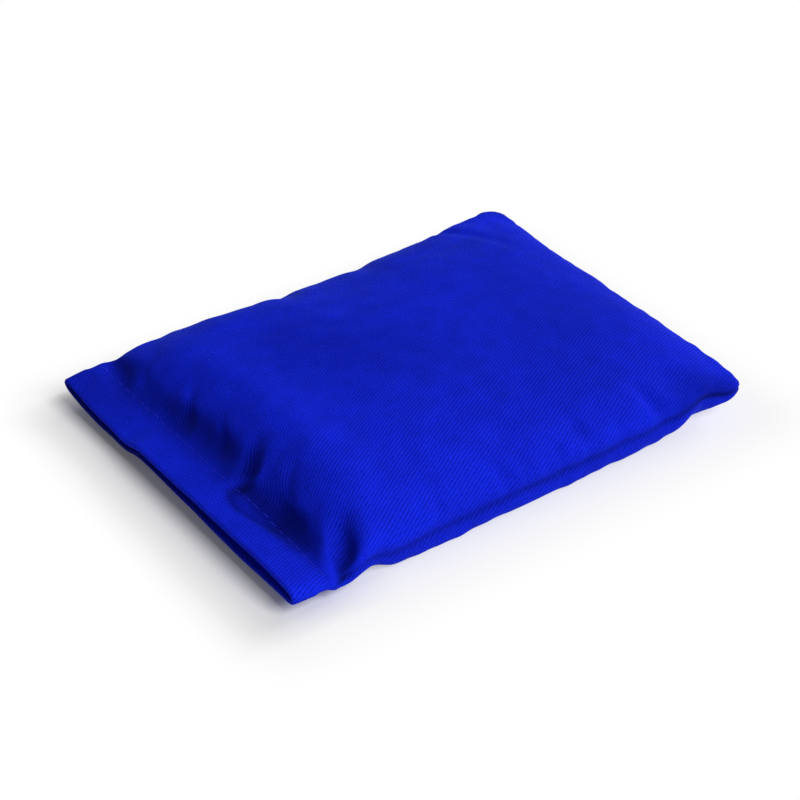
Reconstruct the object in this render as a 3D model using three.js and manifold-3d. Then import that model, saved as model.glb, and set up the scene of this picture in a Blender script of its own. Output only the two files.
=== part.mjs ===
// A filled bean bag: a rectangular twill pouch, turned right side out over its side and far seams, filled
// loosely enough to lie flat, and closed across the near end by a hem whose two folded lips are stitched shut.
// Millimetres. +X runs from the hem to the far seam, +Z is up, and the bag lies on Z = 0.
import * as THREE from "three";
import { LoftGeometry } from "three/addons/geometries/LoftGeometry.js";
import { mergeVertices } from "three/addons/utils/BufferGeometryUtils.js";
import Module from "manifold-3d";

// Overall size, as the bag lies
const LENGTH = 150; // hem edge to far corners
const WIDTH = 114; // across the hem, and across the far corners
const HEIGHT = 26; // floor to crown

// Cloth and hem
const LIP = 1.3; // one folded lip of the hem: two layers of twill
const HEM_DEPTH = 11; // hem edge to stitch row
const HEM_GAPE = 1.8; // widest opening between the lips, at the edge
const GAPE_STOP = 1.5; // the gape ends this far short of the stitch row
const SIDE_STOP = 2.5; // and this far short of each side seam

// How the bag lies
const STITCH_RISE = 8; // stitch row above the floor, at mid width
const STITCH_CORNER_RISE = 6; // and at the side seams
const HEM_DROOP = 2; // the hem edge hangs this far below the stitch row
const SEAM_RISE = 7.5; // side seams above the floor, at mid length
const FAR_RISE = 9.5; // far seam above the floor
const FLOOR_PRESS = 9; // how far the underside would hang below the floor: sets the flat patch

// Filling
const SIDE_PULL = 3.5; // the filling draws the side seams in this far at mid length
const FAR_PULL = 3.5; // and the far seam at mid width
const FULLNESS = 3.1; // exponent of the crown: 2 is an ellipse, more is a flatter top
const SEAM_GROOVE = 1.4; // the cover bulges this far past its side seams
const GROOVE_SPREAD = 0.14; // share of the section's turn over which it does
const CORNER_RADIUS = 5; // the turned far corners are this blunt

// Facets
const RING_POINTS = 56;
const BODY_STATIONS = 26;
const FOLD_STATIONS = [0, 0.2, 0.6, 1]; // shares of a fold's radius
const HEM_STATIONS = [0.35, 0.65]; // shares of the hem's depth

const HEM_EDGE = -LENGTH / 2;
const STITCH_ROW = HEM_EDGE + HEM_DEPTH;
const FAR_EDGE = LENGTH / 2;
const FOLD_RADIUS = LIP / 2;
const FOLD_LAND = 0.9; // the inner rounding of a fold stops short of the outer one
const CUTTER_REACH = 1; // the gape's cutter starts this far outside the hem edge

// Half thickness of an edge rounded over a radius, at a distance in from that edge.
function roundedEdge(inset, radius) {
  return inset >= radius ? radius : Math.sqrt(Math.max(0, radius ** 2 - (radius - inset) ** 2));
}

// Height of the stitch row above the floor; across runs from -1 to 1 between the side seams.
function stitchHeight(across) {
  return STITCH_CORNER_RISE + (STITCH_RISE - STITCH_CORNER_RISE) * (1 - across ** 2);
}

// Middle of the hem, at a distance in from its edge.
function hemHeight(inset, across) {
  return stitchHeight(across) - HEM_DROOP * (1 - Math.max(0, inset) / HEM_DEPTH);
}

// Surface that joins the seams; along runs from -1 at the stitch row to 1 at the far seam.
function seamHeight(along, across) {
  const end = along < 0 ? stitchHeight(across) : FAR_RISE;
  return end + (SEAM_RISE - end) * (1 - along ** 2);
}

// Share of the full height that the filling gives, 0 on every seam and 1 at the middle.
function crown(along, across) {
  return Math.sqrt((1 - Math.abs(along) ** FULLNESS) * (1 - Math.abs(across) ** FULLNESS));
}

function gapeHalf(inset) {
  const depth = HEM_DEPTH - GAPE_STOP;
  return (HEM_GAPE / 2) * Math.max(0, 1 - Math.max(0, inset) / depth);
}

// A closed ring of points, anticlockwise seen from +X. place gives a point from across, which is 1 at +Y,
// side, which is 1 above the seams and -1 below them, and rise, the sine of the ring's angle.
function ring(place) {
  return Array.from({ length: RING_POINTS }, (_, i) => {
    const angle = (2 * Math.PI * i) / RING_POINTS;
    const side = Math.sign(Math.round(Math.sin(angle) * 1e6));
    return place(Math.cos(angle), side, Math.sin(angle));
  });
}

// One section of the hem: two lips and the gape between them, or its middle line where closed.
function hemSection(inset, closed = false) {
  const fold = FOLD_RADIUS - roundedEdge(inset, FOLD_RADIUS);
  const full = closed ? 0 : gapeHalf(inset) + LIP - fold;
  return ring((across, side) => {
    const y = (WIDTH / 2) * across;
    const half = Math.min(full, roundedEdge(WIDTH / 2 - Math.abs(y), LIP + HEM_GAPE / 2));
    return new THREE.Vector3(HEM_EDGE + inset, y, hemHeight(inset, across) + side * half);
  });
}

// One section of the filled body.
function bodySection(along) {
  const middle = (STITCH_ROW + FAR_EDGE) / 2;
  const flat = middle + along * (FAR_EDGE - middle);
  const corner = CORNER_RADIUS - roundedEdge(FAR_EDGE - flat, CORNER_RADIUS);
  const halfWidth = WIDTH / 2 - SIDE_PULL * (1 - along ** 2) - corner;
  const pull = FAR_PULL * ((1 + along) / 2) ** 2;
  return ring((across, side, rise) => {
    const bulge = SEAM_GROOVE * (1 - along ** 2) * (1 - Math.exp(-((rise / GROOVE_SPREAD) ** 2)));
    const y = (halfWidth + bulge) * across;
    const x = flat - pull * (1 - across ** 2);
    const seam = seamHeight(along, across);
    const fill = crown(along, across);
    const layers = roundedEdge(Math.min(halfWidth * (1 - Math.abs(across)), FAR_EDGE - flat), LIP);
    const up = layers * (1 - fill) + (HEIGHT - seam) * fill;
    const down = layers * (1 - fill) + (seam + FLOOR_PRESS) * fill;
    const z = side > 0 ? seam + up : side < 0 ? Math.max(0, seam - down) : seam;
    return new THREE.Vector3(x, y, z);
  });
}

// The gape between the lips: a thin wedge, flared where each lip's fold turns in.
function gapeSection(inset) {
  const halfWidth = WIDTH / 2 - SIDE_STOP;
  const flare = FOLD_LAND * (FOLD_RADIUS - roundedEdge(Math.max(0, inset), FOLD_RADIUS));
  return ring((across, side) => {
    const half = (gapeHalf(inset) + flare) * Math.sqrt(1 - across ** 2);
    return new THREE.Vector3(HEM_EDGE + inset, halfWidth * across, hemHeight(inset, across) + side * half);
  });
}

const wasm = await Module();
wasm.setup();

function toSolid(loft) {
  const shell = new THREE.BufferGeometry();
  shell.setAttribute("position", loft.getAttribute("position"));
  shell.setIndex(loft.index);
  const merged = mergeVertices(shell, 1e-4);
  const vertProperties = merged.getAttribute("position").array;
  const triVerts = new Uint32Array(merged.index.array);
  return new wasm.Manifold(new wasm.Mesh({ numProp: 3, vertProperties, triVerts }));
}

function toGeometry(solid) {
  const { vertProperties, triVerts } = solid.getMesh();
  const geometry = new THREE.BufferGeometry();
  geometry.setAttribute("position", new THREE.BufferAttribute(vertProperties, 3));
  geometry.setIndex(new THREE.BufferAttribute(triVerts, 1));
  geometry.computeVertexNormals();
  return geometry;
}

function coverSolid() {
  const folds = FOLD_STATIONS.map((share) => share * FOLD_RADIUS);
  const band = HEM_STATIONS.map((share) => share * HEM_DEPTH);
  const hem = [hemSection(0, true), ...[...folds, ...band].map((inset) => hemSection(inset))];
  const body = Array.from({ length: BODY_STATIONS + 1 }, (_, i) =>
    bodySection(-Math.cos((Math.PI * i) / BODY_STATIONS)),
  );
  return toSolid(new LoftGeometry([...hem, ...body]));
}

function gapeSolid() {
  const folds = FOLD_STATIONS.map((share) => share * FOLD_RADIUS);
  const insets = [-CUTTER_REACH, ...folds, HEM_STATIONS[0] * HEM_DEPTH, HEM_DEPTH - GAPE_STOP];
  return toSolid(new LoftGeometry(insets.map(gapeSection), { capStart: true }));
}

const twill = new THREE.MeshStandardMaterial({ color: 0x0f1eb4, roughness: 0.9, metalness: 0 });

const beanBag = new THREE.Mesh(toGeometry(coverSolid().subtract(gapeSolid())), twill);
beanBag.name = "bean_bag";

const part = new THREE.Group();
part.add(beanBag);

export default part;
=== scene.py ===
"""A filled bean bag of royal blue twill, sewn shut across one end by a hem with two folded lips.

Metres, +Z up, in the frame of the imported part: +X runs from the hem to the far end, and -Y is the front.
The cover is cut flat, sewn, folded beside its stitch row and filled by a cloth simulation on the floor.
Smaller creases are then pressed in.
"""
import math
from collections import namedtuple

import bmesh
import bpy
import numpy as np
from bpy.props import FloatProperty, FloatVectorProperty, IntProperty, PointerProperty
from mathutils import Matrix, Vector, noise
from mathutils.kdtree import KDTree


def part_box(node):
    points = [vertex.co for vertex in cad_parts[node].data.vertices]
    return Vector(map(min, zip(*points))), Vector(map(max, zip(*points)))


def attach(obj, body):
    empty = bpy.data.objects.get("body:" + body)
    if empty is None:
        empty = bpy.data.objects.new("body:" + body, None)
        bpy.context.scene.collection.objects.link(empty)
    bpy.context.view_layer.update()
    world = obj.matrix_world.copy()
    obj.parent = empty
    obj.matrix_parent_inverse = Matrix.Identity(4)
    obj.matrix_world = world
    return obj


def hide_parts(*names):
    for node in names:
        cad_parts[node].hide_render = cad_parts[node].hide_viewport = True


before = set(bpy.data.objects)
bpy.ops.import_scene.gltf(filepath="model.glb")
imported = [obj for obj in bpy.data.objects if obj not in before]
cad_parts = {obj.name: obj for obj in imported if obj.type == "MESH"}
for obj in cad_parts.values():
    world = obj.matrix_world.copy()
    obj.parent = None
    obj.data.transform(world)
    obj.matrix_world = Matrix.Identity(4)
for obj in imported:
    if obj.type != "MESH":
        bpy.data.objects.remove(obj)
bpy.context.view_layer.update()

bl_info = {
    "name": "Bean Bag",
    "version": (1, 0, 0),
    "blender": (4, 5, 0),
    "location": "3D View > Sidebar > Bean Bag",
    "description": "Sews, fills and stages a twill bean bag",
    "category": "Add Mesh",
}

MM = 0.001
NODE = "bean_bag"
BODY = "root"

NODE_LOW, NODE_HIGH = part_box(NODE)
BAG_LENGTH = NODE_HIGH.x - NODE_LOW.x
BAG_WIDTH = NODE_HIGH.y - NODE_LOW.y
HEM_EDGE = NODE_LOW.x

TOP, UNDER = 1, -1
ARC_SAMPLES = 240
FOLD_CUTS = 7

# A crease presses one panel in along a line of points, each given by its distance from the stitch row, its
# distance from mid width, positive to the back, and its depth. All are millimetres of cloth.
Crease = namedtuple("Crease", "panel reach points")

# A hump of the hem, across its width: its place and spread are shares of the half width, and -1 is the front
Hump = namedtuple("Hump", "amount place spread")

# Uneven cloth: its height and its scale in millimetres, and the seed of its noise
Ripple = namedtuple("Ripple", "height scale seed")

# Folds that the filling leaves beside the stitch row and under the front far corner: the cloth is held in them
# while the bag is filled
FOLDS = (
    Crease(TOP, 3.4, ((4.4, 55, 0.9), (3.4, 48, 2.2), (3, 40, 1.6), (3, 32, 1.0))),
    Crease(TOP, 3.8, ((3, 26, 1.4), (3.2, 18, 2.8), (4.2, 8, 2.2), (5, -1, 2.8), (4.4, -7, 1.8))),
    Crease(TOP, 2.8, ((12, -10.5, 0.8), (8.4, -12, 3.2), (4.6, -12.5, 3.6), (2.2, -14.5, 2.4))),
    Crease(TOP, 3.4, ((2.2, -20, 1.8), (2.4, -27, 3.4), (2.4, -35, 3.4), (2.6, -44, 2.2))),
    Crease(TOP, 3.6, ((15, -45, 0.5), (10.8, -50, 4.2), (9, -54.5, 5.6), (7.4, -58, 3.4), (6.4, -61, 0.6))),
    Crease(UNDER, 4.4, ((22, -42, 0.2), (18, -50, 1.6), (17, -58, 1.3))),
    Crease(UNDER, 3.2, ((14, 36, 0.2), (9, 46, 1.8), (7, 57, 1.4))),
    Crease(UNDER, 3.4, ((7, 22, 0.4), (6, 6, 1.6), (7, -14, 1.4), (6, -28, 0.4))),
    Crease(UNDER, 3.8, ((119, -46, 0.2), (126, -54, 1.8), (130, -60, 1.6))),
)

# Smaller creases, pressed in once the bag is filled
PUCKERS = (
    Crease(
        TOP, 1.7, ((-0.9, -13, 0.3), (-3.1, -17, 0.9), (-3.6, -22, 1.1), (-2.6, -29, 1.0), (-0.8, -35, 0.4))
    ),
    Crease(TOP, 2.0, ((10, 45, 0.1), (7, 41, 0.7), (4, 38, 0.5))),
    Crease(TOP, 2.2, ((15, 24, 0.1), (10, 20, 0.9), (5, 17, 0.6))),
    Crease(TOP, 1.8, ((12, 6, 0.1), (8, 3, 0.8), (4, 0, 0.6))),
    Crease(TOP, 2.0, ((16, -24, 0.1), (12, -26, 0.8), (7, -29, 0.6))),
    Crease(TOP, 1.8, ((39, -53, 0.1), (38, -57, 0.6), (37, -60, 0.3))),
    Crease(TOP, 2.0, ((57, -52, 0.1), (59, -57, 1.1), (60, -60, 0.4))),
    Crease(TOP, 1.8, ((76, -54, 0.1), (78, -58, 0.7), (79, -61, 0.3))),
    Crease(TOP, 2.2, ((85, -48, 0.1), (86, -53, 0.9), (87, -59, 0.3))),
    Crease(TOP, 3.0, ((107, -28, 0.1), (104, -33, 0.4), (101, -38, 0.1))),
    Crease(TOP, 2.0, ((96, -54, 0.1), (98, -58, 0.7), (100, -61, 0.3))),
    Crease(TOP, 2.6, ((109, -45, 0.1), (110, -50, 1.1), (111, -55, 1.5), (115, -61, 0.7))),
    Crease(TOP, 4.0, ((58, 42, 0.2), (58.5, 50, 1.2), (59, 60, 0.8))),
    Crease(TOP, 4.0, ((83, 40, 0.2), (85, 49, 1.0), (86, 60, 0.8))),
    Crease(TOP, 2.4, ((116, 57, 0.5), (119, 52, 1.1), (123, 41, 0.8), (127, 26, 0.2))),
)

# Broad swells of the filling, with a depth below 0, and broad hollows beside them
SWELLS = (
    Crease(TOP, 7, ((6, 58, 1.6), (6, 30, 2.6), (6, 0, 3.0), (6, -30, 3.4), (7, -50, 2.6), (7, -60, 0.8))),
    Crease(TOP, 9, ((19, 44, -0.5), (20, 28, -0.9), (22, 2, -1.7), (21, -26, -2.5), (24, -45, -1.5))),
    Crease(TOP, 3.6, ((-0.4, -17, -0.4), (-0.4, -20, -0.9), (-0.6, -24, -0.4))),
    Crease(TOP, 8, ((120, 54, -0.6), (128, 49, -1.1), (136, 42, -0.5))),
    Crease(TOP, 14, ((18, 46, -1.1), (34, 48, -2.3), (48, 48, -1.0))),
    Crease(TOP, 14, ((52, 34, 0.3), (64, 33, 0.9), (80, 36, 0.3))),
    Crease(TOP, 12, ((88, 50, -0.5), (104, 50, -1.2), (118, 50, -1.0))),
)

# Painted shade, darkening the colour where shade falls: in the pockets beside the stitch row, in patches on
# the top, at the front far corner and along the lower lip. The third number of each point is how dark it is,
# not a depth, and below 0 it is a painted highlight that makes the cloth paler, on the ear.
PAINTED_SHADE_AND_HIGHLIGHT = (
    Crease(TOP, 3.4, ((7, 58, 0.9), (5, 47, 0.7), (2, 43, 0.4))),
    Crease(TOP, 12, ((-8, 56, 0.55), (-5, 44, 0.4))),
    Crease(
        TOP, 4.2, ((3, 32, 0.3), (3.5, 26, 0.5), (3.4, 18, 0.75), (4.4, 9, 0.5), (5, -2, 0.65), (4, -8, 0.4))
    ),
    Crease(TOP, 2.6, ((14, -12.4, 0.35), (9, -12, 0.6), (5, -13, 0.75), (1.4, -15.4, 0.7))),
    Crease(
        TOP, 1.6,
        ((0.4, -15.6, 0.5), (-1.6, -14.8, 0.6), (-3.8, -18.5, 0.9), (-4.2, -24, 0.75), (-3, -29, 0.3)),
    ),
    Crease(
        TOP, 3.2, ((1, -19, 0.8), (0.6, -24, 0.95), (0.8, -29, 0.75), (0.2, -34, 0.95), (1.4, -43.5, 0.5))
    ),
    Crease(TOP, 2.2, ((3, -30, 0.2), (3.4, -34, 0.45), (3.6, -38, 0.2))),
    Crease(TOP, 3.0, ((13, -49, 0.5), (11, -52.5, 1.0), (8.6, -56, 1.2), (6.6, -60, 1.0))),
    Crease(TOP, 1.8, ((6.2, -48, 0.3), (4.1, -52, 0.5))),
    Crease(TOP, 8.5, ((3, 46, 0.36), (4, 0, 0.46), (3, -42, 0.46))),
    Crease(TOP, 17, ((44, 14, 0.26), (55, 2, 0.36), (66, -6, 0.26))),
    Crease(TOP, 24, ((80, -40, 0.2), (102, -34, 0.36), (114, -8, 0.3), (112, 12, 0.16))),
    Crease(TOP, 9, ((124, -57, 0.45), (134, -60, 0.8))),
    Crease(TOP, 9, ((122, 54, -0.3), (130, 50, -0.5), (136, 44, -0.3))),
    Crease(UNDER, 5.0, ((-11, 57, 1.2), (-11, 20, 1.2), (-11, -10, 0.9), (-11, -35, 0.5), (-11, -57, 0.4))),
)


def length_of(name, description, millimetres):
    """A length property with its default in millimetres."""
    return FloatProperty(name=name, description=description, default=millimetres * MM, unit="LENGTH")


def corner_of(name, description, millimetres):
    """A corner's shift from the plain outline, with its height above the floor as the third number."""
    default = [value * MM for value in millimetres]
    return FloatVectorProperty(name=name, description=description, default=default, unit="LENGTH")


def colour_of(name, description, colour):
    return FloatVectorProperty(name=name, description=description, default=colour, subtype="COLOR")


def angle_of(name, description, degrees):
    default = math.radians(degrees)
    return FloatProperty(name=name, description=description, default=default, subtype="ANGLE")


class CoverSettings(bpy.types.PropertyGroup):
    """Sizes of the sewn cover and how the filled bag lies."""

    hem_depth: length_of("Hem depth", "Hem edge to stitch row", 11)
    lip: length_of("Lip", "Thickness of one folded lip of the hem", 1.3)
    turn_in: length_of("Turn-in", "Cloth folded back inside each lip", 8)
    gape: length_of("Gape", "Widest opening between the two lips", 2.0)
    lip_sag: length_of("Lip sag", "How far the lower lip hangs away, in the front half", 1.7)
    pinch: length_of("Pinch", "How far the stitches draw the cloth in", 0.18)
    crown: length_of("Crown", "Floor to the highest part of the filling", 24.2)
    fullness: FloatProperty(
        name="Fullness", description="Exponent of the crown: 2 is round, more is flatter", default=3.04
    )
    stitch_rise: length_of("Stitch row rise", "Stitch row above the floor, at mid width", 7.8)
    front_droop: length_of("Front droop", "Hem edge below the stitch row, at the front", -0.9)
    back_droop: length_of("Back droop", "Hem edge below the stitch row, at the back", 1.6)
    front_seam_rise: length_of("Front seam rise", "Front seam above the floor, at mid length", 7.0)
    back_seam_rise: length_of("Back seam rise", "Back seam above the floor, at mid length", 7.1)
    front_pull: length_of("Front pull", "How far the filling draws the front seam in", 2.0)
    back_pull: length_of("Back pull", "How far the filling draws the back seam in", 4.6)
    end_pull: length_of("End pull", "How far the filling draws the far seam in", 0.1)
    end_rise: length_of("End rise", "Far seam above the floor, at mid width", 8.8)
    floor_press: length_of("Floor press", "How far the underside would hang below the floor", 8.8)
    front_corner: length_of("Front corner radius", "Bluntness of the far corner at the front", 3.6)
    back_corner: length_of("Back corner radius", "Bluntness of the far corner at the back", 8.0)
    front_tuck: length_of("Front tuck", "Rise of the front seam beside the hem and the far corner", 1.8)
    ear_lift: length_of("Ear lift", "How far the back far corner curls up", 3.6)
    hem_back: corner_of("Hem, back corner", "Shift along and across, and height", (-1.6, 0, 9.8))
    hem_front: corner_of("Hem, front corner", "Shift along and across, and height", (1.0, 0, 5.0))
    end_front: corner_of("Far end, front corner", "Shift along and across, and height", (-2.6, 0.6, 9.5))
    end_back: corner_of("Far end, back corner", "Shift along and across, and height", (-0.7, 1.7, 9.9))
    columns: IntProperty(name="Columns", description="Faces along the cloth before smoothing", default=84)
    rows: IntProperty(name="Rows", description="Faces across the cloth before smoothing", default=58)


class FillingSettings(bpy.types.PropertyGroup):
    """How the bag is filled: the cut that swells, the filling and the cloth's handling."""

    cut_length: length_of("Cut length", "Stitch row to far seam on the flat cloth", 148.5)
    cut_width: length_of("Cut width", "Front seam to back seam on the flat cloth", 117.5)
    volume: FloatProperty(name="Volume", description="Filling, in cubic centimetres", default=284)
    stiffness: FloatProperty(name="Stiffness", description="The twill's resistance to stretch", default=300)
    bending: FloatProperty(name="Bending", description="The twill's resistance to bending", default=0.03)
    frames: IntProperty(name="Frames", description="Steps until the filling has settled", default=22)


class ThreadSettings(bpy.types.PropertyGroup):
    """The closing row of stitches."""

    pitch: length_of("Pitch", "One stitch to the next", 3.9)
    stitch_length: length_of("Stitch length", "Thread that shows between two holes", 2.9)
    stitch_rise: length_of("Stitch rise", "How far a stitch arches above its holes", 0.22)
    diameter: length_of("Diameter", "Thickness of the thread", 0.34)
    sink: length_of("Sink", "How far the stitches are drawn into the cloth", 0.24)
    row_inset: length_of("Row inset", "The row stops this far short of each side seam", 3)
    colour: colour_of("Colour", "Dyed thread, between the ribs and the grooves", (0.003, 0.01, 0.52))


class TwillSettings(bpy.types.PropertyGroup):
    """Colours and sizes of the cloth's weave."""

    rib_colour: colour_of("Rib colour", "Raised threads of the twill", (0.0062, 0.022, 0.74))
    groove_colour: colour_of("Groove colour", "Cloth between the ribs", (0.0008, 0.0034, 0.29))
    rib_pitch: length_of("Rib pitch", "Distance between two ribs of the twill", 0.89)
    rib_angle: angle_of("Rib angle", "Angle of the ribs to the bag's length", 27)


class StageSettings(bpy.types.PropertyGroup):
    """Camera and light."""

    azimuth: angle_of("Azimuth", "Camera's bearing round the bag", -35.48)
    elevation: angle_of("Elevation", "Camera's angle above the floor", 34.57)
    distance: length_of("Distance", "Camera to the point it looks at", 516.4)
    lens: FloatProperty(name="Lens", description="Focal length in millimetres", default=83.4)
    target: FloatVectorProperty(
        name="Target", description="Point on the floor that the camera looks at", default=(0.0003, 0.0048, 0),
        unit="LENGTH",
    )


def mix(start, end, share):
    return start + (end - start) * share


def rounded_edge(inset, radius):
    """Half thickness of an edge rounded over a radius, at a distance in from that edge."""
    if inset >= radius:
        return radius
    return math.sqrt(max(0.0, radius ** 2 - (radius - inset) ** 2))


def bell(distance, reach):
    """1 at no distance, fading smoothly to nothing past the reach."""
    return np.exp(-((distance / reach) ** 2))


def step_up(distance, reach):
    """0 well below no distance and 1 well above it, rising over the reach."""
    return 0.5 + 0.5 * math.tanh(distance / reach)


class CrownedSpan:
    """Spreads cloth evenly over a crowned profile: maps a distance along the cloth to a share of the span."""

    def __init__(self, half_span, rise, fullness):
        self.span = np.sin(np.linspace(0, math.pi / 2, ARC_SAMPLES))
        height = rise * np.sqrt(1 - self.span ** fullness)
        steps = np.hypot(np.diff(half_span * self.span), np.diff(height))
        self.arc = np.concatenate([[0], np.cumsum(steps)])
        self.half_cloth = float(self.arc[-1])

    def share(self, cloth):
        """Share of the half span, -1 to 1, for a distance from the middle along the cloth."""
        return math.copysign(float(np.interp(abs(cloth), self.arc, self.span)), cloth)


# Opening between the lips of the hem: its least share of the gape, and where it opens wider
GAPE_LEAST = 0.45
GAPE_HUMPS = (Hump(0.6, -0.72, 0.3), Hump(0.3, 0.75, 0.25))

# Lie of the hem: where its lower lip sags, the stretch at the back that has slumped, and a slight ripple; then
# how far the pinch of the stitches reaches
LIP_SAG = Hump(1, -0.42, 0.48)
SLUMP = 1.5 * MM
SLUMP_START, SLUMP_STEP = 0.36, 0.05
SLUMP_END, SLUMP_FADE = 0.9, 0.1
RIPPLE = 0.5 * MM
RIPPLES = 5
RIPPLE_SEED = (0.3, 0.7)
PINCH_REACH = 1.4 * MM

# The ear at the back far corner, and the two tucks of the front seam
EAR_INSET, EAR_LENGTH, EAR_WIDTH = 5 * MM, 18 * MM, 16 * MM
TUCKS = (15 * MM, 128 * MM)
TUCK_REACH = 8 * MM
TUCK_WIDTH = 0.25


def hump_at(hump, reach):
    return hump.amount * bell(reach - hump.place, hump.spread)


class BagForm:
    """Where each point of the flat cut cover lies once the bag is filled and set down.

    A point is given by along, the distance from the stitch row, which is below 0 on the hem, by across, the
    distance from mid width, and by side, which is 1 on the top panel, -1 underneath and 0 on a seam.
    """

    def __init__(self, cover):
        self.cover = cover
        self.half_width = BAG_WIDTH / 2
        self.body_half = (BAG_LENGTH - cover.hem_depth) / 2
        self.body_middle = HEM_EDGE + cover.hem_depth + self.body_half
        rise = cover.crown / 2
        self.lengthwise = CrownedSpan(self.body_half, rise, cover.fullness)
        self.crosswise = CrownedSpan(self.half_width, rise, cover.fullness)
        self.body_cloth = 2 * self.lengthwise.half_cloth
        self.half_cloth = self.crosswise.half_cloth
        self.fold_radius = cover.lip / 2
        self.fold_cloth = math.pi * self.fold_radius
        self.hem_cloth = cover.hem_depth - self.fold_radius
        self.raw_edge = -(self.hem_cloth + self.fold_cloth + cover.turn_in)

    def between(self, front, back, reach):
        return mix(front, back, (1 + reach) / 2)

    def shift(self, axis, reach, far_share):
        """A point's shift along one axis, between those of the four corners."""
        cover = self.cover
        hem = self.between(cover.hem_front[axis], cover.hem_back[axis], reach)
        end = self.between(cover.end_front[axis], cover.end_back[axis], reach)
        return mix(hem, end, far_share)

    def stitch_height(self, reach):
        cover = self.cover
        corner = self.between(cover.hem_front[2], cover.hem_back[2], reach)
        return mix(cover.stitch_rise, corner, reach ** 2)

    def end_height(self, reach):
        cover = self.cover
        corner = self.between(cover.end_front[2], cover.end_back[2], reach)
        return mix(cover.end_rise, corner, reach ** 2)

    def gape_half(self, inset, reach):
        """Half the opening between the lips: widest near the front, thin in the middle, wider at the back."""
        cover = self.cover
        open_share = sum((hump_at(hump, reach) for hump in GAPE_HUMPS), GAPE_LEAST)
        return cover.gape / 2 * open_share * max(0.0, 1 - inset / (cover.hem_depth - cover.lip))

    def hem_droop(self, inset, reach):
        """How far the hem hangs below the stitch row, with a step where its back part has slumped."""
        cover = self.cover
        droop = self.between(cover.front_droop, cover.back_droop, reach)
        slump = SLUMP * step_up(reach - SLUMP_START, SLUMP_STEP)
        slump *= 1 - step_up(reach - SLUMP_END, SLUMP_FADE)
        ripple = RIPPLE * noise.noise((reach * RIPPLES, *RIPPLE_SEED))
        return (droop + slump + ripple) * (1 - inset / cover.hem_depth)

    def hem_point(self, along, reach, side):
        """A point of the hem: its outer layer, the fold at its edge, or the layer turned in behind that."""
        cover = self.cover
        radius = self.fold_radius
        past_layer = -self.hem_cloth - along
        if past_layer <= 0:
            inset, turn = radius - past_layer, 0.0
        elif past_layer < self.fold_cloth:
            turn = past_layer / radius
            inset = radius - radius * math.sin(turn)
        else:
            inset, turn = radius + past_layer - self.fold_cloth, math.pi
        half_width = self.half_width - radius * (1 - math.cos(turn))
        y = half_width * reach
        offset = self.gape_half(inset, reach) + radius + radius * math.cos(turn)
        offset -= cover.pinch * bell(cover.hem_depth - inset, PINCH_REACH)
        offset = min(offset, rounded_edge(half_width - abs(y), cover.lip + cover.gape / 2))
        x = HEM_EDGE + inset + self.shift(0, reach, 0)
        y += self.shift(1, reach, 0)
        z = self.stitch_height(reach) - self.hem_droop(inset, reach) + side * offset
        if side < 0:
            z -= cover.lip_sag * hump_at(LIP_SAG, reach) * (1 - inset / cover.hem_depth)
        return Vector((x, y, z))

    def body_point(self, along, across, side):
        """A point of the filled body."""
        cover = self.cover
        run = self.lengthwise.share(along - self.body_cloth / 2)
        reach = self.crosswise.share(across)
        far_share = (1 + run) / 2
        middle_share = 1 - run ** 2
        flat = self.body_middle + run * self.body_half
        inset = self.body_middle + self.body_half - flat
        radius = self.between(cover.front_corner, cover.back_corner, reach)
        corner = radius - rounded_edge(inset, radius)
        pull = self.between(cover.front_pull, cover.back_pull, reach) * (1 - run ** 4) + corner
        fill = math.sqrt((1 - abs(run) ** cover.fullness) * (1 - abs(reach) ** cover.fullness))
        y = (self.half_width - pull) * reach
        y += self.shift(1, reach, far_share)
        x = flat - cover.end_pull * far_share ** 2 * (1 - reach ** 2)
        x += self.shift(0, reach, far_share)
        end = self.stitch_height(reach) if run < 0 else self.end_height(reach)
        seam = mix(end, self.between(cover.front_seam_rise, cover.back_seam_rise, reach), middle_share)
        ear = bell((1 - run) * self.body_half - EAR_INSET, EAR_LENGTH)
        ear *= bell((1 - reach) * self.half_width, EAR_WIDTH)
        seam += cover.ear_lift * ear
        tucked = sum(bell(along - tuck, TUCK_REACH) for tuck in TUCKS)
        seam += cover.front_tuck * tucked * bell(1 + reach, TUCK_WIDTH)
        layers = rounded_edge(min(self.half_width * (1 - abs(reach)), inset), cover.lip)
        layers = max(0.0, layers - cover.pinch * bell(along, PINCH_REACH))
        if side > 0:
            z = seam + mix(layers, cover.crown - seam, fill)
        elif side < 0:
            z = max(0.0, seam - mix(layers, seam + cover.floor_press, fill))
        else:
            z = seam
        return Vector((x, y, z))

    def point(self, along, across, side):
        if along < 0:
            return self.hem_point(along, across / self.half_cloth, side)
        return self.body_point(along, across, side)


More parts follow.
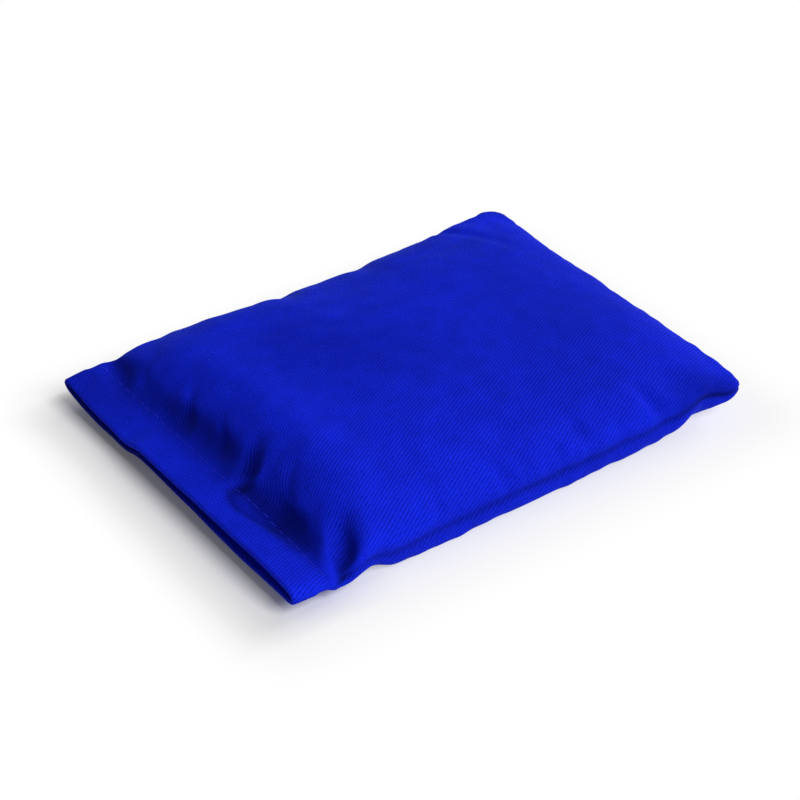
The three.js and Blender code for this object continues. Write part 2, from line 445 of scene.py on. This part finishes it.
def sewn_mesh(cover, form):
    """Two panels of cloth, sewn together along both sides and the far end, laid in the bag's form."""
    bm = bmesh.new()
    side = bm.verts.layers.float.new("side")
    along = bm.verts.layers.float.new("along")
    across = bm.verts.layers.float.new("across")
    cloth = bm.loops.layers.uv.new("cloth")
    cut_length = form.body_cloth - form.raw_edge
    bmesh.ops.create_grid(bm, x_segments=cover.columns, y_segments=cover.rows, size=0.5)
    bmesh.ops.scale(bm, vec=(cut_length, 2 * form.half_cloth, 1), verts=bm.verts)
    bmesh.ops.translate(bm, vec=(cut_length / 2 + form.raw_edge, 0, 0), verts=bm.verts)
    fold_start = -form.hem_cloth - form.fold_cloth
    cell = cut_length / cover.columns
    fold_edges = [
        edge for edge in bm.edges
        if abs(edge.verts[0].co.x - edge.verts[1].co.x) > cell / 2
        and max(v.co.x for v in edge.verts) > fold_start
        and min(v.co.x for v in edge.verts) < -form.hem_cloth
    ]
    bmesh.ops.subdivide_edges(bm, edges=fold_edges, cuts=FOLD_CUTS)
    for vert in bm.verts:
        vert[side] = TOP
        vert[along] = vert.co.x
        vert[across] = vert.co.y
    for face in bm.faces:
        for loop in face.loops:
            loop[cloth].uv = loop.vert.co.xy
    panel = bm.verts[:] + bm.edges[:] + bm.faces[:]
    under = bmesh.ops.duplicate(bm, geom=panel)["geom"]
    bmesh.ops.reverse_faces(bm, faces=[item for item in under if isinstance(item, bmesh.types.BMFace)])
    for item in under:
        if isinstance(item, bmesh.types.BMVert):
            item[side] = UNDER
        elif isinstance(item, bmesh.types.BMFace):
            for loop in item.loops:
                loop[cloth].uv.y = -loop[cloth].uv.y
    tolerance = 0.001 * MM
    sewn = [
        vert for vert in bm.verts
        if abs(vert[across]) > form.half_cloth - tolerance or vert[along] > form.body_cloth - tolerance
    ]
    for vert in sewn:
        vert[side] = 0
    bmesh.ops.remove_doubles(bm, verts=sewn, dist=tolerance)
    for vert in bm.verts:
        vert.co = form.point(vert[along], vert[across], vert[side])
    return mesh_of(bm, "cover")


def mesh_of(bm, name):
    """Turns a bmesh into a mesh with smooth faces."""
    mesh = bpy.data.meshes.new(name)
    for face in bm.faces:
        face.smooth = True
    bm.to_mesh(mesh)
    bm.free()
    return mesh


def points_of(mesh):
    points = np.empty(3 * len(mesh.vertices), np.float32)
    mesh.vertices.foreach_get("co", points)
    return points.reshape(-1, 3)


def set_points(mesh, points):
    mesh.vertices.foreach_set("co", points.astype(np.float32).ravel())
    mesh.update()


def normals_of(mesh):
    normals = np.empty(3 * len(mesh.vertices), np.float32)
    mesh.vertex_normals.foreach_get("vector", normals)
    return normals.reshape(-1, 3)


# Sets the top panel's noise apart from the underside's
PANEL_SEED = 5


class Cloth:
    """Where each vertex of the cover was on the flat cloth, and how far it is from the nearest seam."""

    def __init__(self, mesh, form):
        self.side = self.layer(mesh, "side")
        self.along = self.layer(mesh, "along")
        self.across = self.layer(mesh, "across")
        self.to_side_seam = form.half_cloth - np.abs(self.across)
        self.to_far_seam = form.body_cloth - self.along
        self.to_seam = np.minimum(self.to_side_seam, self.to_far_seam)

    def layer(self, mesh, name):
        values = np.empty(len(mesh.vertices), np.float32)
        mesh.attributes[name].data.foreach_get("value", values)
        return values

    def noise(self, scale, seed):
        """Smooth noise over the cloth, from -1 to 1, different on the two panels."""
        rows = zip(self.along / scale, self.across / scale, self.side)
        return np.array([noise.noise((x, y, seed + PANEL_SEED * (s > 0))) for x, y, s in rows])

    def ripple(self, ripple):
        return ripple.height * MM * self.noise(ripple.scale * MM, ripple.seed)


# The low ridges beside a crease, as shares of its depth and of its reach
RIDGE = 0.3
RIDGE_REACH = 2.2


def crease_depth(crease, cloth):
    """How far a crease presses each vertex in; below 0 on the low ridges that the cloth raises beside it."""
    depth = np.zeros(len(cloth.along))
    nearest = np.full(len(cloth.along), np.inf)
    points = np.array(crease.points) * MM
    for start, end in zip(points, points[1:]):
        step = end - start
        share = (cloth.along - start[0]) * step[0] + (cloth.across - start[1]) * step[1]
        share = np.clip(share / (step[0] ** 2 + step[1] ** 2), 0, 1)
        distance = np.hypot(
            cloth.along - start[0] - share * step[0], cloth.across - start[1] - share * step[1]
        )
        closer = distance < nearest
        nearest[closer] = distance[closer]
        depth[closer] = mix(start[2], end[2], share)[closer]
    near = nearest / (crease.reach * MM)
    profile = bell(near, 1) - RIDGE * bell(near, RIDGE_REACH)
    on_panel = cloth.side * crease.panel >= 0
    return depth * profile * on_panel


def press(mesh, cloth, creases):
    """Presses creases into the cover and returns how deep each vertex went."""
    depth = sum(crease_depth(crease, cloth) for crease in creases)
    points = points_of(mesh) - normals_of(mesh) * depth[:, None]
    points[:, 2] = np.maximum(0, points[:, 2])
    set_points(mesh, points)
    return depth


SIM_SCALE = 10

# What the simulation holds: cloth up to this far past the stitch row, and folds deeper than this
HELD_HEM = 1.2 * MM
HELD_DEPTH = 0.9 * MM

# Gap that the simulation keeps above its ground, and the height up to which the cloth is lowered again
FLOOR_GAP = 0.4 * MM
LOWERED = 6 * MM


def fill_bag(scene, mesh, cloth, depth, form, filling):
    """Fills the bag by a cloth simulation, run at a larger scale where the solver is steady, and applies it.

    The hem, the seams and the floors of the folds are held, and the rest swells from its flat cut.
    """
    trial = bpy.data.objects.new("filling", mesh.copy())
    scene.collection.objects.link(trial)
    set_points(trial.data, points_of(mesh) * SIM_SCALE)
    flat = np.zeros((len(cloth.along), 3))
    stretch = filling.cut_length / form.body_cloth
    flat[:, 0] = np.where(cloth.along > 0, cloth.along * stretch, cloth.along)
    flat[:, 1] = cloth.across * filling.cut_width / (2 * form.half_cloth)
    trial.shape_key_add(name="Basis")
    cut = trial.shape_key_add(name="cut")
    cut.data.foreach_set("co", (flat * SIM_SCALE).ravel())
    held = (cloth.along < HELD_HEM) | (cloth.side == 0) | (depth > HELD_DEPTH)
    trial.vertex_groups.new(name="held").add(np.flatnonzero(held).tolist(), 1.0, "REPLACE")
    modifier = trial.modifiers.new("Filling", "CLOTH")
    modifier.point_cache.frame_end = filling.frames
    handling = modifier.settings
    handling.rest_shape_key = cut
    handling.vertex_group_mass = "held"
    handling.quality = 10
    handling.mass = 0.15
    handling.tension_stiffness = handling.compression_stiffness = filling.stiffness
    handling.shear_stiffness = 40
    handling.bending_stiffness = filling.bending
    handling.tension_damping = handling.compression_damping = handling.shear_damping = 10
    handling.bending_damping = 1
    handling.air_damping = 2
    handling.use_pressure = True
    handling.use_pressure_volume = True
    handling.target_volume = filling.volume * (SIM_SCALE * 0.01) ** 3
    handling.uniform_pressure_force = 0
    handling.pressure_factor = 200
    handling.fluid_density = 0.02
    modifier.collision_settings.distance_min = FLOOR_GAP * SIM_SCALE
    bm = bmesh.new()
    bmesh.ops.create_grid(bm, x_segments=8, y_segments=8, size=SIM_SCALE * BAG_LENGTH)
    ground = bpy.data.objects.new("ground", mesh_of(bm, "ground"))
    scene.collection.objects.link(ground)
    ground.modifiers.new("Collision", "COLLISION")
    ground.collision.thickness_outer = FLOOR_GAP * SIM_SCALE
    ground.collision.cloth_friction = 20
    for step in range(1, filling.frames + 1):
        scene.frame_set(step)
    filled = trial.evaluated_get(bpy.context.evaluated_depsgraph_get())
    points = points_of(filled.data) / SIM_SCALE
    body = cloth.along > HELD_HEM
    points[body, 2] -= 2 * FLOOR_GAP * bell(points[body, 2], LOWERED)
    points[:, 2] = np.maximum(0, points[:, 2])
    for helper in (trial, ground):
        bpy.data.meshes.remove(helper.data)
    scene.frame_set(1)
    set_points(mesh, points)


def refine(mesh):
    """Smooths the cover once by subdivision, as a new mesh."""
    coarse = bpy.data.objects.new("coarse", mesh)
    bpy.context.scene.collection.objects.link(coarse)
    smooth = coarse.modifiers.new("Smooth", "SUBSURF")
    smooth.levels = smooth.render_levels = 1
    graph = bpy.context.evaluated_depsgraph_get()
    fine = bpy.data.meshes.new_from_object(
        coarse.evaluated_get(graph), preserve_all_data_layers=True, depsgraph=graph
    )
    bpy.data.meshes.remove(mesh)
    fine.name = "cover"
    return fine


# Seam lines sink in, look darker and fade out towards the hem; all shade, the painted shade and highlight with
# the darker seam lines, is kept between two limits
BODY_START = 7 * MM
SEAM_SINK, SEAM_REACH = 0.5 * MM, 0.9 * MM
SEAM_SHADE, SEAM_SHADE_REACH = 0.5, 0.8 * MM
PALEST, FULL_SHADE = -0.5, 1

# Gathers lie beside the seams, others beside the stitch row, and lumps of the filling everywhere but there
GATHERS = Ripple(0.35, 4.5, 1)
GATHERS_INSET, GATHERS_REACH = 3 * MM, 4 * MM
SEWN_IN = Ripple(0.5, 5, 2)
SEWN_IN_INSET, SEWN_IN_REACH = 4 * MM, 5 * MM
LUMPS = (Ripple(0.5, 20, 3), Ripple(0.2, 7, 4))
LUMPS_START = 9 * MM


def settle(mesh, cloth):
    """Adds the seam lines, the gathers, the lumps of the filling, the small creases and the painted shade and
    highlight.
    """
    on_body = np.clip(cloth.along / BODY_START, 0, 1)
    seam_line = SEAM_SINK * bell(cloth.to_seam, SEAM_REACH) * on_body
    gathers = cloth.ripple(GATHERS) * bell(cloth.to_seam - GATHERS_INSET, GATHERS_REACH) * on_body
    sewn_in = cloth.ripple(SEWN_IN) * bell(cloth.along - SEWN_IN_INSET, SEWN_IN_REACH)
    lumps = sum(cloth.ripple(lump) for lump in LUMPS)
    lumps *= 1 - bell(np.maximum(0, cloth.along), LUMPS_START)
    outward = gathers + sewn_in + lumps - seam_line
    set_points(mesh, points_of(mesh) + normals_of(mesh) * outward[:, None])
    press(mesh, cloth, SWELLS)
    press(mesh, cloth, PUCKERS)
    # Painted shade and highlight, with the darker seam lines, go into the shade attribute that darkens the
    # twill's colour
    shade = sum(crease_depth(crease, cloth) for crease in PAINTED_SHADE_AND_HIGHLIGHT) / MM
    shade += SEAM_SHADE * bell(cloth.to_seam, SEAM_SHADE_REACH) * on_body
    layer = mesh.attributes.new("shade", "FLOAT", "POINT")
    layer.data.foreach_set("value", np.clip(shade, PALEST, FULL_SHADE).astype(np.float32))


# Smoothing where the stitch row runs out: its passes, the line just past the row on which it is centred, its
# length to each side of that and its width in from the seam
ROW_END_PASSES = 6
ROW_END_PAST = 1 * MM
ROW_END_LENGTH = 5 * MM
ROW_END_WIDTH = 6 * MM


def soften_row_ends(mesh, cloth):
    """Smooths the cover where the stitch row runs out into the two side seams."""
    bm = bmesh.new()
    bm.from_mesh(mesh)
    bm.verts.ensure_lookup_table()
    by_row = np.abs(cloth.along - ROW_END_PAST) < ROW_END_LENGTH
    near = np.flatnonzero(by_row & (cloth.to_side_seam < ROW_END_WIDTH))
    verts = [bm.verts[vertex] for vertex in near]
    for _ in range(ROW_END_PASSES):
        bmesh.ops.smooth_vert(bm, verts=verts, factor=0.5, use_axis_x=True, use_axis_y=True, use_axis_z=True)
    bm.to_mesh(mesh)
    bm.free()


class Surface:
    """Finds where a point of the flat cloth lies on one panel of the cover, and which way it faces."""

    def __init__(self, mesh, cloth, panel):
        self.points = points_of(mesh)
        self.normals = normals_of(mesh)
        on_panel = np.flatnonzero(cloth.side * panel > 0)
        self.tree = KDTree(len(on_panel))
        for vertex in on_panel:
            self.tree.insert((cloth.along[vertex], cloth.across[vertex], 0), vertex)
        self.tree.balance()

    def at(self, along, across):
        """Position and facing, weighted between the nearest vertices."""
        near = self.tree.find_n((along, across, 0), 4)
        vertices = [vertex for _, vertex, _ in near]
        weights = np.array([1 / (distance + 0.01 * MM) for _, _, distance in near])
        weights /= weights.sum()
        return Vector(weights @ self.points[vertices]), Vector(weights @ self.normals[vertices]).normalized()


def one_stitch(bm, thread):
    """An arch of thread along Y, its ends dipping below Z = 0."""
    half, rise = thread.stitch_length / 2, thread.stitch_rise
    bend = (half ** 2 + rise ** 2) / (2 * rise)
    turn = 2 * math.asin(half / bend)
    section = bmesh.ops.create_circle(
        bm, segments=8, radius=thread.diameter / 2, cap_ends=True,
        matrix=Matrix.Rotation(math.pi / 2, 4, "X"),
    )["verts"]
    bmesh.ops.translate(bm, vec=(0, 0, bend), verts=section)
    bmesh.ops.rotate(bm, cent=(0, 0, 0), matrix=Matrix.Rotation(turn / 2, 3, "X"), verts=section)
    geom = section + list({edge for vert in section for edge in vert.link_edges})
    geom += list({face for vert in section for face in vert.link_faces})
    bmesh.ops.spin(bm, geom=geom, cent=(0, 0, 0), axis=(1, 0, 0), angle=-turn, steps=8)
    bmesh.ops.translate(bm, vec=(0, 0, rise - bend - thread.sink), verts=bm.verts)
    bmesh.ops.recalc_face_normals(bm, faces=bm.faces)


def stitches_mesh(mesh, cloth, form, thread):
    """The closing row: one stitch after another across the hem, on the top and underneath."""
    pattern = bmesh.new()
    one_stitch(pattern, thread)
    stitch = mesh_of(pattern, "stitch")
    bm = bmesh.new()
    count = int(2 * (form.half_cloth - thread.row_inset) / thread.pitch)
    step = 0.5 * thread.stitch_length
    for panel in (TOP, UNDER):
        surface = Surface(mesh, cloth, panel)
        for number in range(count):
            across = (number - (count - 1) / 2) * thread.pitch
            place, up = surface.at(0, across)
            row = surface.at(0, across + step)[0] - surface.at(0, across - step)[0]
            sideways = row.cross(up).normalized()
            row = up.cross(sideways)
            before = len(bm.verts)
            bm.from_mesh(stitch)
            bm.verts.ensure_lookup_table()
            turn = Matrix((sideways, row, up)).transposed().to_4x4()
            bmesh.ops.transform(bm, matrix=Matrix.Translation(place) @ turn, verts=bm.verts[before:])
    bpy.data.meshes.remove(stitch)
    return mesh_of(bm, "stitches")


def add_piece(mesh, name, material):
    """Links a finished piece, at the origin."""
    mesh.materials.append(material)
    piece = bpy.data.objects.new(name, mesh)
    bpy.context.scene.collection.objects.link(piece)
    return piece


def new_material(name):
    material = bpy.data.materials.new(name)
    material.use_nodes = True
    nodes = material.node_tree.nodes
    return material, nodes, material.node_tree.links, nodes["Principled BSDF"]


def set_inputs(node, values):
    """Sets a node's unlinked inputs by their names."""
    for name, value in values.items():
        node.inputs[name].default_value = value


def math_node(nodes, links, operation, first, second=None):
    """A Math node on two values, each a socket or a number."""
    node = nodes.new("ShaderNodeMath")
    node.operation = operation
    for socket, value in zip(node.inputs, (first, second)):
        if value is None:
            continue
        if isinstance(value, (int, float)):
            socket.default_value = value
        else:
            links.new(value, socket)
    return node.outputs[0]


def uneven_dye_group():
    """Node group: how evenly the cotton took the dye, as a value around 1 that shades a colour."""
    group = bpy.data.node_groups.new("uneven_dye", "ShaderNodeTree")
    group.interface.new_socket("Vector", in_out="INPUT", socket_type="NodeSocketVector")
    for name in ("Patch size", "Amount"):
        group.interface.new_socket(name, in_out="INPUT", socket_type="NodeSocketFloat")
    group.interface.new_socket("Shade", in_out="OUTPUT", socket_type="NodeSocketFloat")
    nodes, links = group.nodes, group.links
    inputs = nodes.new("NodeGroupInput").outputs
    output = nodes.new("NodeGroupOutput").inputs
    patches = nodes.new("ShaderNodeTexNoise")
    patches.inputs["Detail"].default_value = 3
    links.new(inputs["Vector"], patches.inputs["Vector"])
    links.new(math_node(nodes, links, "DIVIDE", 1.0, inputs["Patch size"]), patches.inputs["Scale"])
    swing = math_node(nodes, links, "SUBTRACT", patches.outputs["Fac"], 0.5)
    shade = math_node(nodes, links, "ADD", math_node(nodes, links, "MULTIPLY", swing, inputs["Amount"]), 1.0)
    links.new(shade, output["Shade"])
    return group


def dyed(nodes, links, vector, patch, amount, colour):
    """The colour, shaded by how evenly the cotton took the dye."""
    dye = nodes.new("ShaderNodeGroup")
    dye.node_tree = bpy.data.node_groups.get("uneven_dye") or uneven_dye_group()
    set_inputs(dye, {"Patch size": patch, "Amount": amount})
    links.new(vector, dye.inputs["Vector"])
    shaded = nodes.new("ShaderNodeVectorMath")
    shaded.operation = "SCALE"
    if isinstance(colour, bpy.types.NodeSocket):
        links.new(colour, shaded.inputs[0])
    else:
        shaded.inputs[0].default_value = colour
    links.new(dye.outputs["Shade"], shaded.inputs["Scale"])
    return shaded.outputs["Vector"]


def add_bump(nodes, links, shader, height, distance):
    bump = nodes.new("ShaderNodeBump")
    set_inputs(bump, {"Strength": 1, "Distance": distance})
    links.new(height, bump.inputs["Height"])
    links.new(bump.outputs["Normal"], shader.inputs["Normal"])


def noise_over(nodes, links, vector, scale, detail):
    """Noise stretched by a scale along each axis."""
    stretch = nodes.new("ShaderNodeMapping")
    stretch.inputs["Scale"].default_value = scale
    links.new(vector, stretch.inputs["Vector"])
    texture = nodes.new("ShaderNodeTexNoise")
    set_inputs(texture, {"Scale": 1, "Detail": detail})
    links.new(stretch.outputs["Vector"], texture.inputs["Vector"])
    return texture.outputs["Fac"]


# Share of the colour that full painted shade takes away
DARKEST = 0.8

# The weave: how far the ribs wander, how strong ribs and yarn are, and how unevenly the dye took
WANDER_SCALE, WANDER = (90, 90, 1), 0.9
RIB_SWING, RIB_LEVEL = 0.24, 0.12
YARN_SCALE, YARN = (1300, 1700, 1), 0.85
DYE_PATCH, DYE_AMOUNT = 7 * MM, 0.5
WEAVE_HEIGHT = 0.12 * MM


def twill_material(twill):
    """Royal blue twill: diagonal ribs over the cloth's own map, uneven yarn and dye, a soft nap, and painted
    shade and highlight.
    """
    material, nodes, links, shader = new_material("twill")
    uv_map = nodes.new("ShaderNodeUVMap")
    uv_map.uv_map = "cloth"
    cloth = uv_map.outputs["UV"]
    split = nodes.new("ShaderNodeSeparateXYZ")
    links.new(cloth, split.inputs[0])
    ribs_across = math.cos(twill.rib_angle) / twill.rib_pitch
    ribs_along = -math.sin(twill.rib_angle) / twill.rib_pitch
    rise = math_node(nodes, links, "MULTIPLY", split.outputs["Y"], ribs_across)
    run = math_node(nodes, links, "MULTIPLY", split.outputs["X"], ribs_along)
    wander = math_node(nodes, links, "MULTIPLY", noise_over(nodes, links, cloth, WANDER_SCALE, 1), WANDER)
    ribs = math_node(nodes, links, "ADD", math_node(nodes, links, "ADD", rise, run), wander)
    wave = math_node(nodes, links, "SINE", math_node(nodes, links, "MULTIPLY", ribs, 2 * math.pi))
    rib = math_node(nodes, links, "ADD", math_node(nodes, links, "MULTIPLY", wave, RIB_SWING), RIB_LEVEL)
    yarn = math_node(nodes, links, "MULTIPLY", noise_over(nodes, links, cloth, YARN_SCALE, 2), YARN)
    weave = math_node(nodes, links, "ADD", rib, yarn)
    colour = nodes.new("ShaderNodeMix")
    colour.data_type = "RGBA"
    colour.inputs["A"].default_value = (*twill.groove_colour, 1)
    colour.inputs["B"].default_value = (*twill.rib_colour, 1)
    links.new(weave, colour.inputs["Factor"])
    # Painted shade and highlight: the cover's shade attribute darkens the colour, and pales it where it is
    # below 0
    shade = nodes.new("ShaderNodeAttribute")
    shade.attribute_name = "shade"
    lost = math_node(nodes, links, "MULTIPLY", shade.outputs["Fac"], DARKEST)
    shaded = nodes.new("ShaderNodeVectorMath")
    shaded.operation = "SCALE"
    dye = dyed(nodes, links, cloth, DYE_PATCH, DYE_AMOUNT, colour.outputs["Result"])
    links.new(dye, shaded.inputs[0])
    links.new(math_node(nodes, links, "SUBTRACT", 1.0, lost), shaded.inputs["Scale"])
    links.new(shaded.outputs["Vector"], shader.inputs["Base Color"])
    add_bump(nodes, links, shader, weave, WEAVE_HEIGHT)
    set_inputs(shader, {"Roughness": 0.9, "Specular IOR Level": 0.04})
    set_inputs(shader, {"Sheen Weight": 0.12, "Sheen Roughness": 0.35, "Sheen Tint": (0.08, 0.2, 1.0, 1)})
    return material


# The thread's twist, as the scale of its bands and their height, and its patches of dye
TWISTS = 900
TWIST_HEIGHT = 0.05 * MM
THREAD_PATCH = 1.5 * MM


def thread_material(thread):
    """Dyed cotton thread with its twist."""
    material, nodes, links, shader = new_material("thread")
    place = nodes.new("ShaderNodeTexCoord").outputs["Object"]
    twist = nodes.new("ShaderNodeTexWave")
    twist.bands_direction = "DIAGONAL"
    set_inputs(twist, {"Scale": TWISTS, "Distortion": 1.5})
    links.new(place, twist.inputs["Vector"])
    dye = dyed(nodes, links, place, THREAD_PATCH, DYE_AMOUNT, thread.colour)
    links.new(dye, shader.inputs["Base Color"])
    add_bump(nodes, links, shader, twist.outputs["Fac"], TWIST_HEIGHT)
    set_inputs(shader, {"Roughness": 0.7, "Specular IOR Level": 0.25})
    return material


class BEANBAG_OT_cover(bpy.types.Operator):
    """Sews the two panels of twill together, fills the bag and lays it down"""

    bl_idname = "beanbag.cover"
    bl_label = "Twill Cover"

    def execute(self, context):
        scene = context.scene
        form = BagForm(scene.bean_bag_cover)
        mesh = sewn_mesh(scene.bean_bag_cover, form)
        cloth = Cloth(mesh, form)
        depth = press(mesh, cloth, FOLDS)
        fill_bag(scene, mesh, cloth, depth, form, scene.bean_bag_filling)
        mesh = refine(mesh)
        cloth = Cloth(mesh, form)
        settle(mesh, cloth)
        soften_row_ends(mesh, cloth)
        piece = add_piece(mesh, "cover", twill_material(scene.bean_bag_twill))
        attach(piece, BODY)
        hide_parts(NODE)
        return {"FINISHED"}


class BEANBAG_OT_stitches(bpy.types.Operator):
    """Sews the closing row of stitches through both panels, across the hem"""

    bl_idname = "beanbag.stitches"
    bl_label = "Closing Stitches"

    def execute(self, context):
        scene = context.scene
        form = BagForm(scene.bean_bag_cover)
        cover = bpy.data.objects["cover"].data
        mesh = stitches_mesh(cover, Cloth(cover, form), form, scene.bean_bag_thread)
        piece = add_piece(mesh, "stitches", thread_material(scene.bean_bag_thread))
        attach(piece, BODY)
        return {"FINISHED"}


def backdrop_white(nodes, links):
    """1 for the rays that should see plain white: from the camera, in gloss and through glass."""
    path = nodes.new("ShaderNodeLightPath")
    gloss = math_node(nodes, links, "MAXIMUM", path.outputs["Is Camera Ray"], path.outputs["Is Glossy Ray"])
    return math_node(nodes, links, "MAXIMUM", gloss, path.outputs["Is Transmission Ray"])


# How far the floor is lifted to white at the hem and along the rest of the bag, and where it is fully white
LIFT_AT_HEM = 0.05
LIFT_NEAR = 0.45
LIFT_REACH = 23 * MM

# The lift changes between these two places, and beyond the bag's sides over this distance
LIFT_START, LIFT_END = 0.84 * HEM_EDGE, 0.6 * HEM_EDGE
LIFT_BESIDE = 6 * MM


def floor_lift(nodes, links):
    """How far the floor is lifted to white: little off the hem, where the shadow lies, and fully beyond."""
    place = nodes.new("ShaderNodeSeparateXYZ")
    links.new(nodes.new("ShaderNodeTexCoord").outputs["Object"], place.inputs[0])
    outside = []
    for axis, half in (("X", BAG_LENGTH / 2), ("Y", BAG_WIDTH / 2)):
        away = math_node(nodes, links, "ABSOLUTE", place.outputs[axis])
        away = math_node(nodes, links, "MAXIMUM", math_node(nodes, links, "SUBTRACT", away, half), 0.0)
        outside.append(math_node(nodes, links, "MULTIPLY", away, away))
    distance = math_node(nodes, links, "SQRT", math_node(nodes, links, "ADD", *outside))
    spread = nodes.new("ShaderNodeMapRange")
    spread.interpolation_type = "SMOOTHSTEP"
    spread.inputs["From Max"].default_value = LIFT_REACH
    hem_side = nodes.new("ShaderNodeMapRange")
    set_inputs(hem_side, {"From Min": LIFT_START, "From Max": LIFT_END})
    set_inputs(hem_side, {"To Min": LIFT_AT_HEM, "To Max": LIFT_NEAR})
    links.new(place.outputs["X"], hem_side.inputs["Value"])
    beside = nodes.new("ShaderNodeMapRange")
    set_inputs(beside, {"From Max": LIFT_BESIDE ** 2, "To Max": LIFT_NEAR})
    links.new(outside[1], beside.inputs["Value"])
    nearest = math_node(nodes, links, "MAXIMUM", hem_side.outputs["Result"], beside.outputs["Result"])
    links.new(nearest, spread.inputs["To Min"])
    links.new(distance, spread.inputs["Value"])
    return math_node(nodes, links, "MULTIPLY", spread.outputs["Result"], backdrop_white(nodes, links))


def floor_material():
    """Pale matt floor that keeps the bag's shadow and is lifted to white away from it."""
    material, nodes, links, shader = new_material("floor")
    set_inputs(shader, {"Base Color": (0.9, 0.9, 0.9, 1), "Roughness": 1, "Specular IOR Level": 0})
    lift = nodes.new("ShaderNodeEmission")
    lift.inputs["Strength"].default_value = 1
    blend = nodes.new("ShaderNodeMixShader")
    links.new(floor_lift(nodes, links), blend.inputs["Fac"])
    links.new(shader.outputs["BSDF"], blend.inputs[1])
    links.new(lift.outputs["Emission"], blend.inputs[2])
    links.new(blend.outputs["Shader"], nodes["Material Output"].inputs["Surface"])
    return material


def aim(thing, target):
    thing.rotation_euler = (target - thing.location).to_track_quat("-Z", "Y").to_euler()


# Stage, in metres and watts; each light has a bearing and a height in degrees, a size and a power
FLOOR_HALF = 4
LIGHT_DISTANCE = 3
LIGHTS = {"end_light": (2, 25, 1.3, 44), "front_light": (281, 43, 1.5, 76)}
AMBIENT = 0.18


def add_area_light(name, bearing, height, size, watts, target):
    """A square soft light, at a bearing from +X and a height above the floor in degrees."""
    bearing, height = math.radians(bearing), math.radians(height)
    location = LIGHT_DISTANCE * Vector((
        math.cos(bearing) * math.cos(height), math.sin(bearing) * math.cos(height), math.sin(height)
    ))
    light = bpy.data.lights.new(name, "AREA")
    light.shape = "SQUARE"
    light.size = size
    light.energy = watts
    lamp = bpy.data.objects.new(name, light)
    lamp.location = location
    aim(lamp, target)
    bpy.context.scene.collection.objects.link(lamp)


class BEANBAG_OT_stage(bpy.types.Operator):
    """Sets the floor, the light and the camera"""

    bl_idname = "beanbag.stage"
    bl_label = "Stage"

    def execute(self, context):
        scene = context.scene
        stage = scene.bean_bag_stage
        scene.view_settings.view_transform = "Standard"
        bm = bmesh.new()
        bmesh.ops.create_grid(bm, x_segments=1, y_segments=1, size=FLOOR_HALF)
        add_piece(mesh_of(bm, "floor"), "floor", floor_material())
        target = Vector(stage.target)
        bearing, height = stage.azimuth, stage.elevation
        back = Vector((
            math.sin(bearing) * math.cos(height), -math.cos(bearing) * math.cos(height), math.sin(height)
        ))
        camera = bpy.data.objects.new("camera", bpy.data.cameras.new("camera"))
        camera.data.lens = stage.lens
        camera.data.sensor_width = 36
        camera.location = target + back * stage.distance
        aim(camera, target)
        scene.collection.objects.link(camera)
        scene.camera = camera
        for name, setting in LIGHTS.items():
            add_area_light(name, *setting, target)
        world = bpy.data.worlds.new("studio")
        world.use_nodes = True
        scene.world = world
        nodes, links = world.node_tree.nodes, world.node_tree.links
        ambient = nodes["Background"]
        set_inputs(ambient, {"Color": (1, 1, 1, 1), "Strength": AMBIENT})
        white = nodes.new("ShaderNodeBackground")
        set_inputs(white, {"Color": (1, 1, 1, 1), "Strength": 1})
        blend = nodes.new("ShaderNodeMixShader")
        links.new(backdrop_white(nodes, links), blend.inputs["Fac"])
        links.new(ambient.outputs["Background"], blend.inputs[1])
        links.new(white.outputs["Background"], blend.inputs[2])
        links.new(blend.outputs["Shader"], nodes["World Output"].inputs["Surface"])
        return {"FINISHED"}


class BEANBAG_PT_panel(bpy.types.Panel):
    """Lists the steps that make the bag"""

    bl_idname = "BEANBAG_PT_panel"
    bl_label = "Bean Bag"
    bl_space_type = "VIEW_3D"
    bl_region_type = "UI"
    bl_category = "Bean Bag"

    def draw(self, context):
        for operator in OPERATORS:
            self.layout.operator(operator.bl_idname)


OPERATORS = (BEANBAG_OT_stage, BEANBAG_OT_cover, BEANBAG_OT_stitches)
SETTINGS = {
    "bean_bag_cover": CoverSettings,
    "bean_bag_filling": FillingSettings,
    "bean_bag_thread": ThreadSettings,
    "bean_bag_twill": TwillSettings,
    "bean_bag_stage": StageSettings,
}
CLASSES = (*SETTINGS.values(), *OPERATORS, BEANBAG_PT_panel)


def register():
    for cls in CLASSES:
        bpy.utils.register_class(cls)
    for name, settings in SETTINGS.items():
        setattr(bpy.types.Scene, name, PointerProperty(type=settings))


def unregister():
    for name in SETTINGS:
        delattr(bpy.types.Scene, name)
    for cls in reversed(CLASSES):
        bpy.utils.unregister_class(cls)


def main():
    register()
    bpy.ops.beanbag.stage()
    bpy.ops.beanbag.cover()
    bpy.ops.beanbag.stitches()


if __name__ == "__main__":
    main()
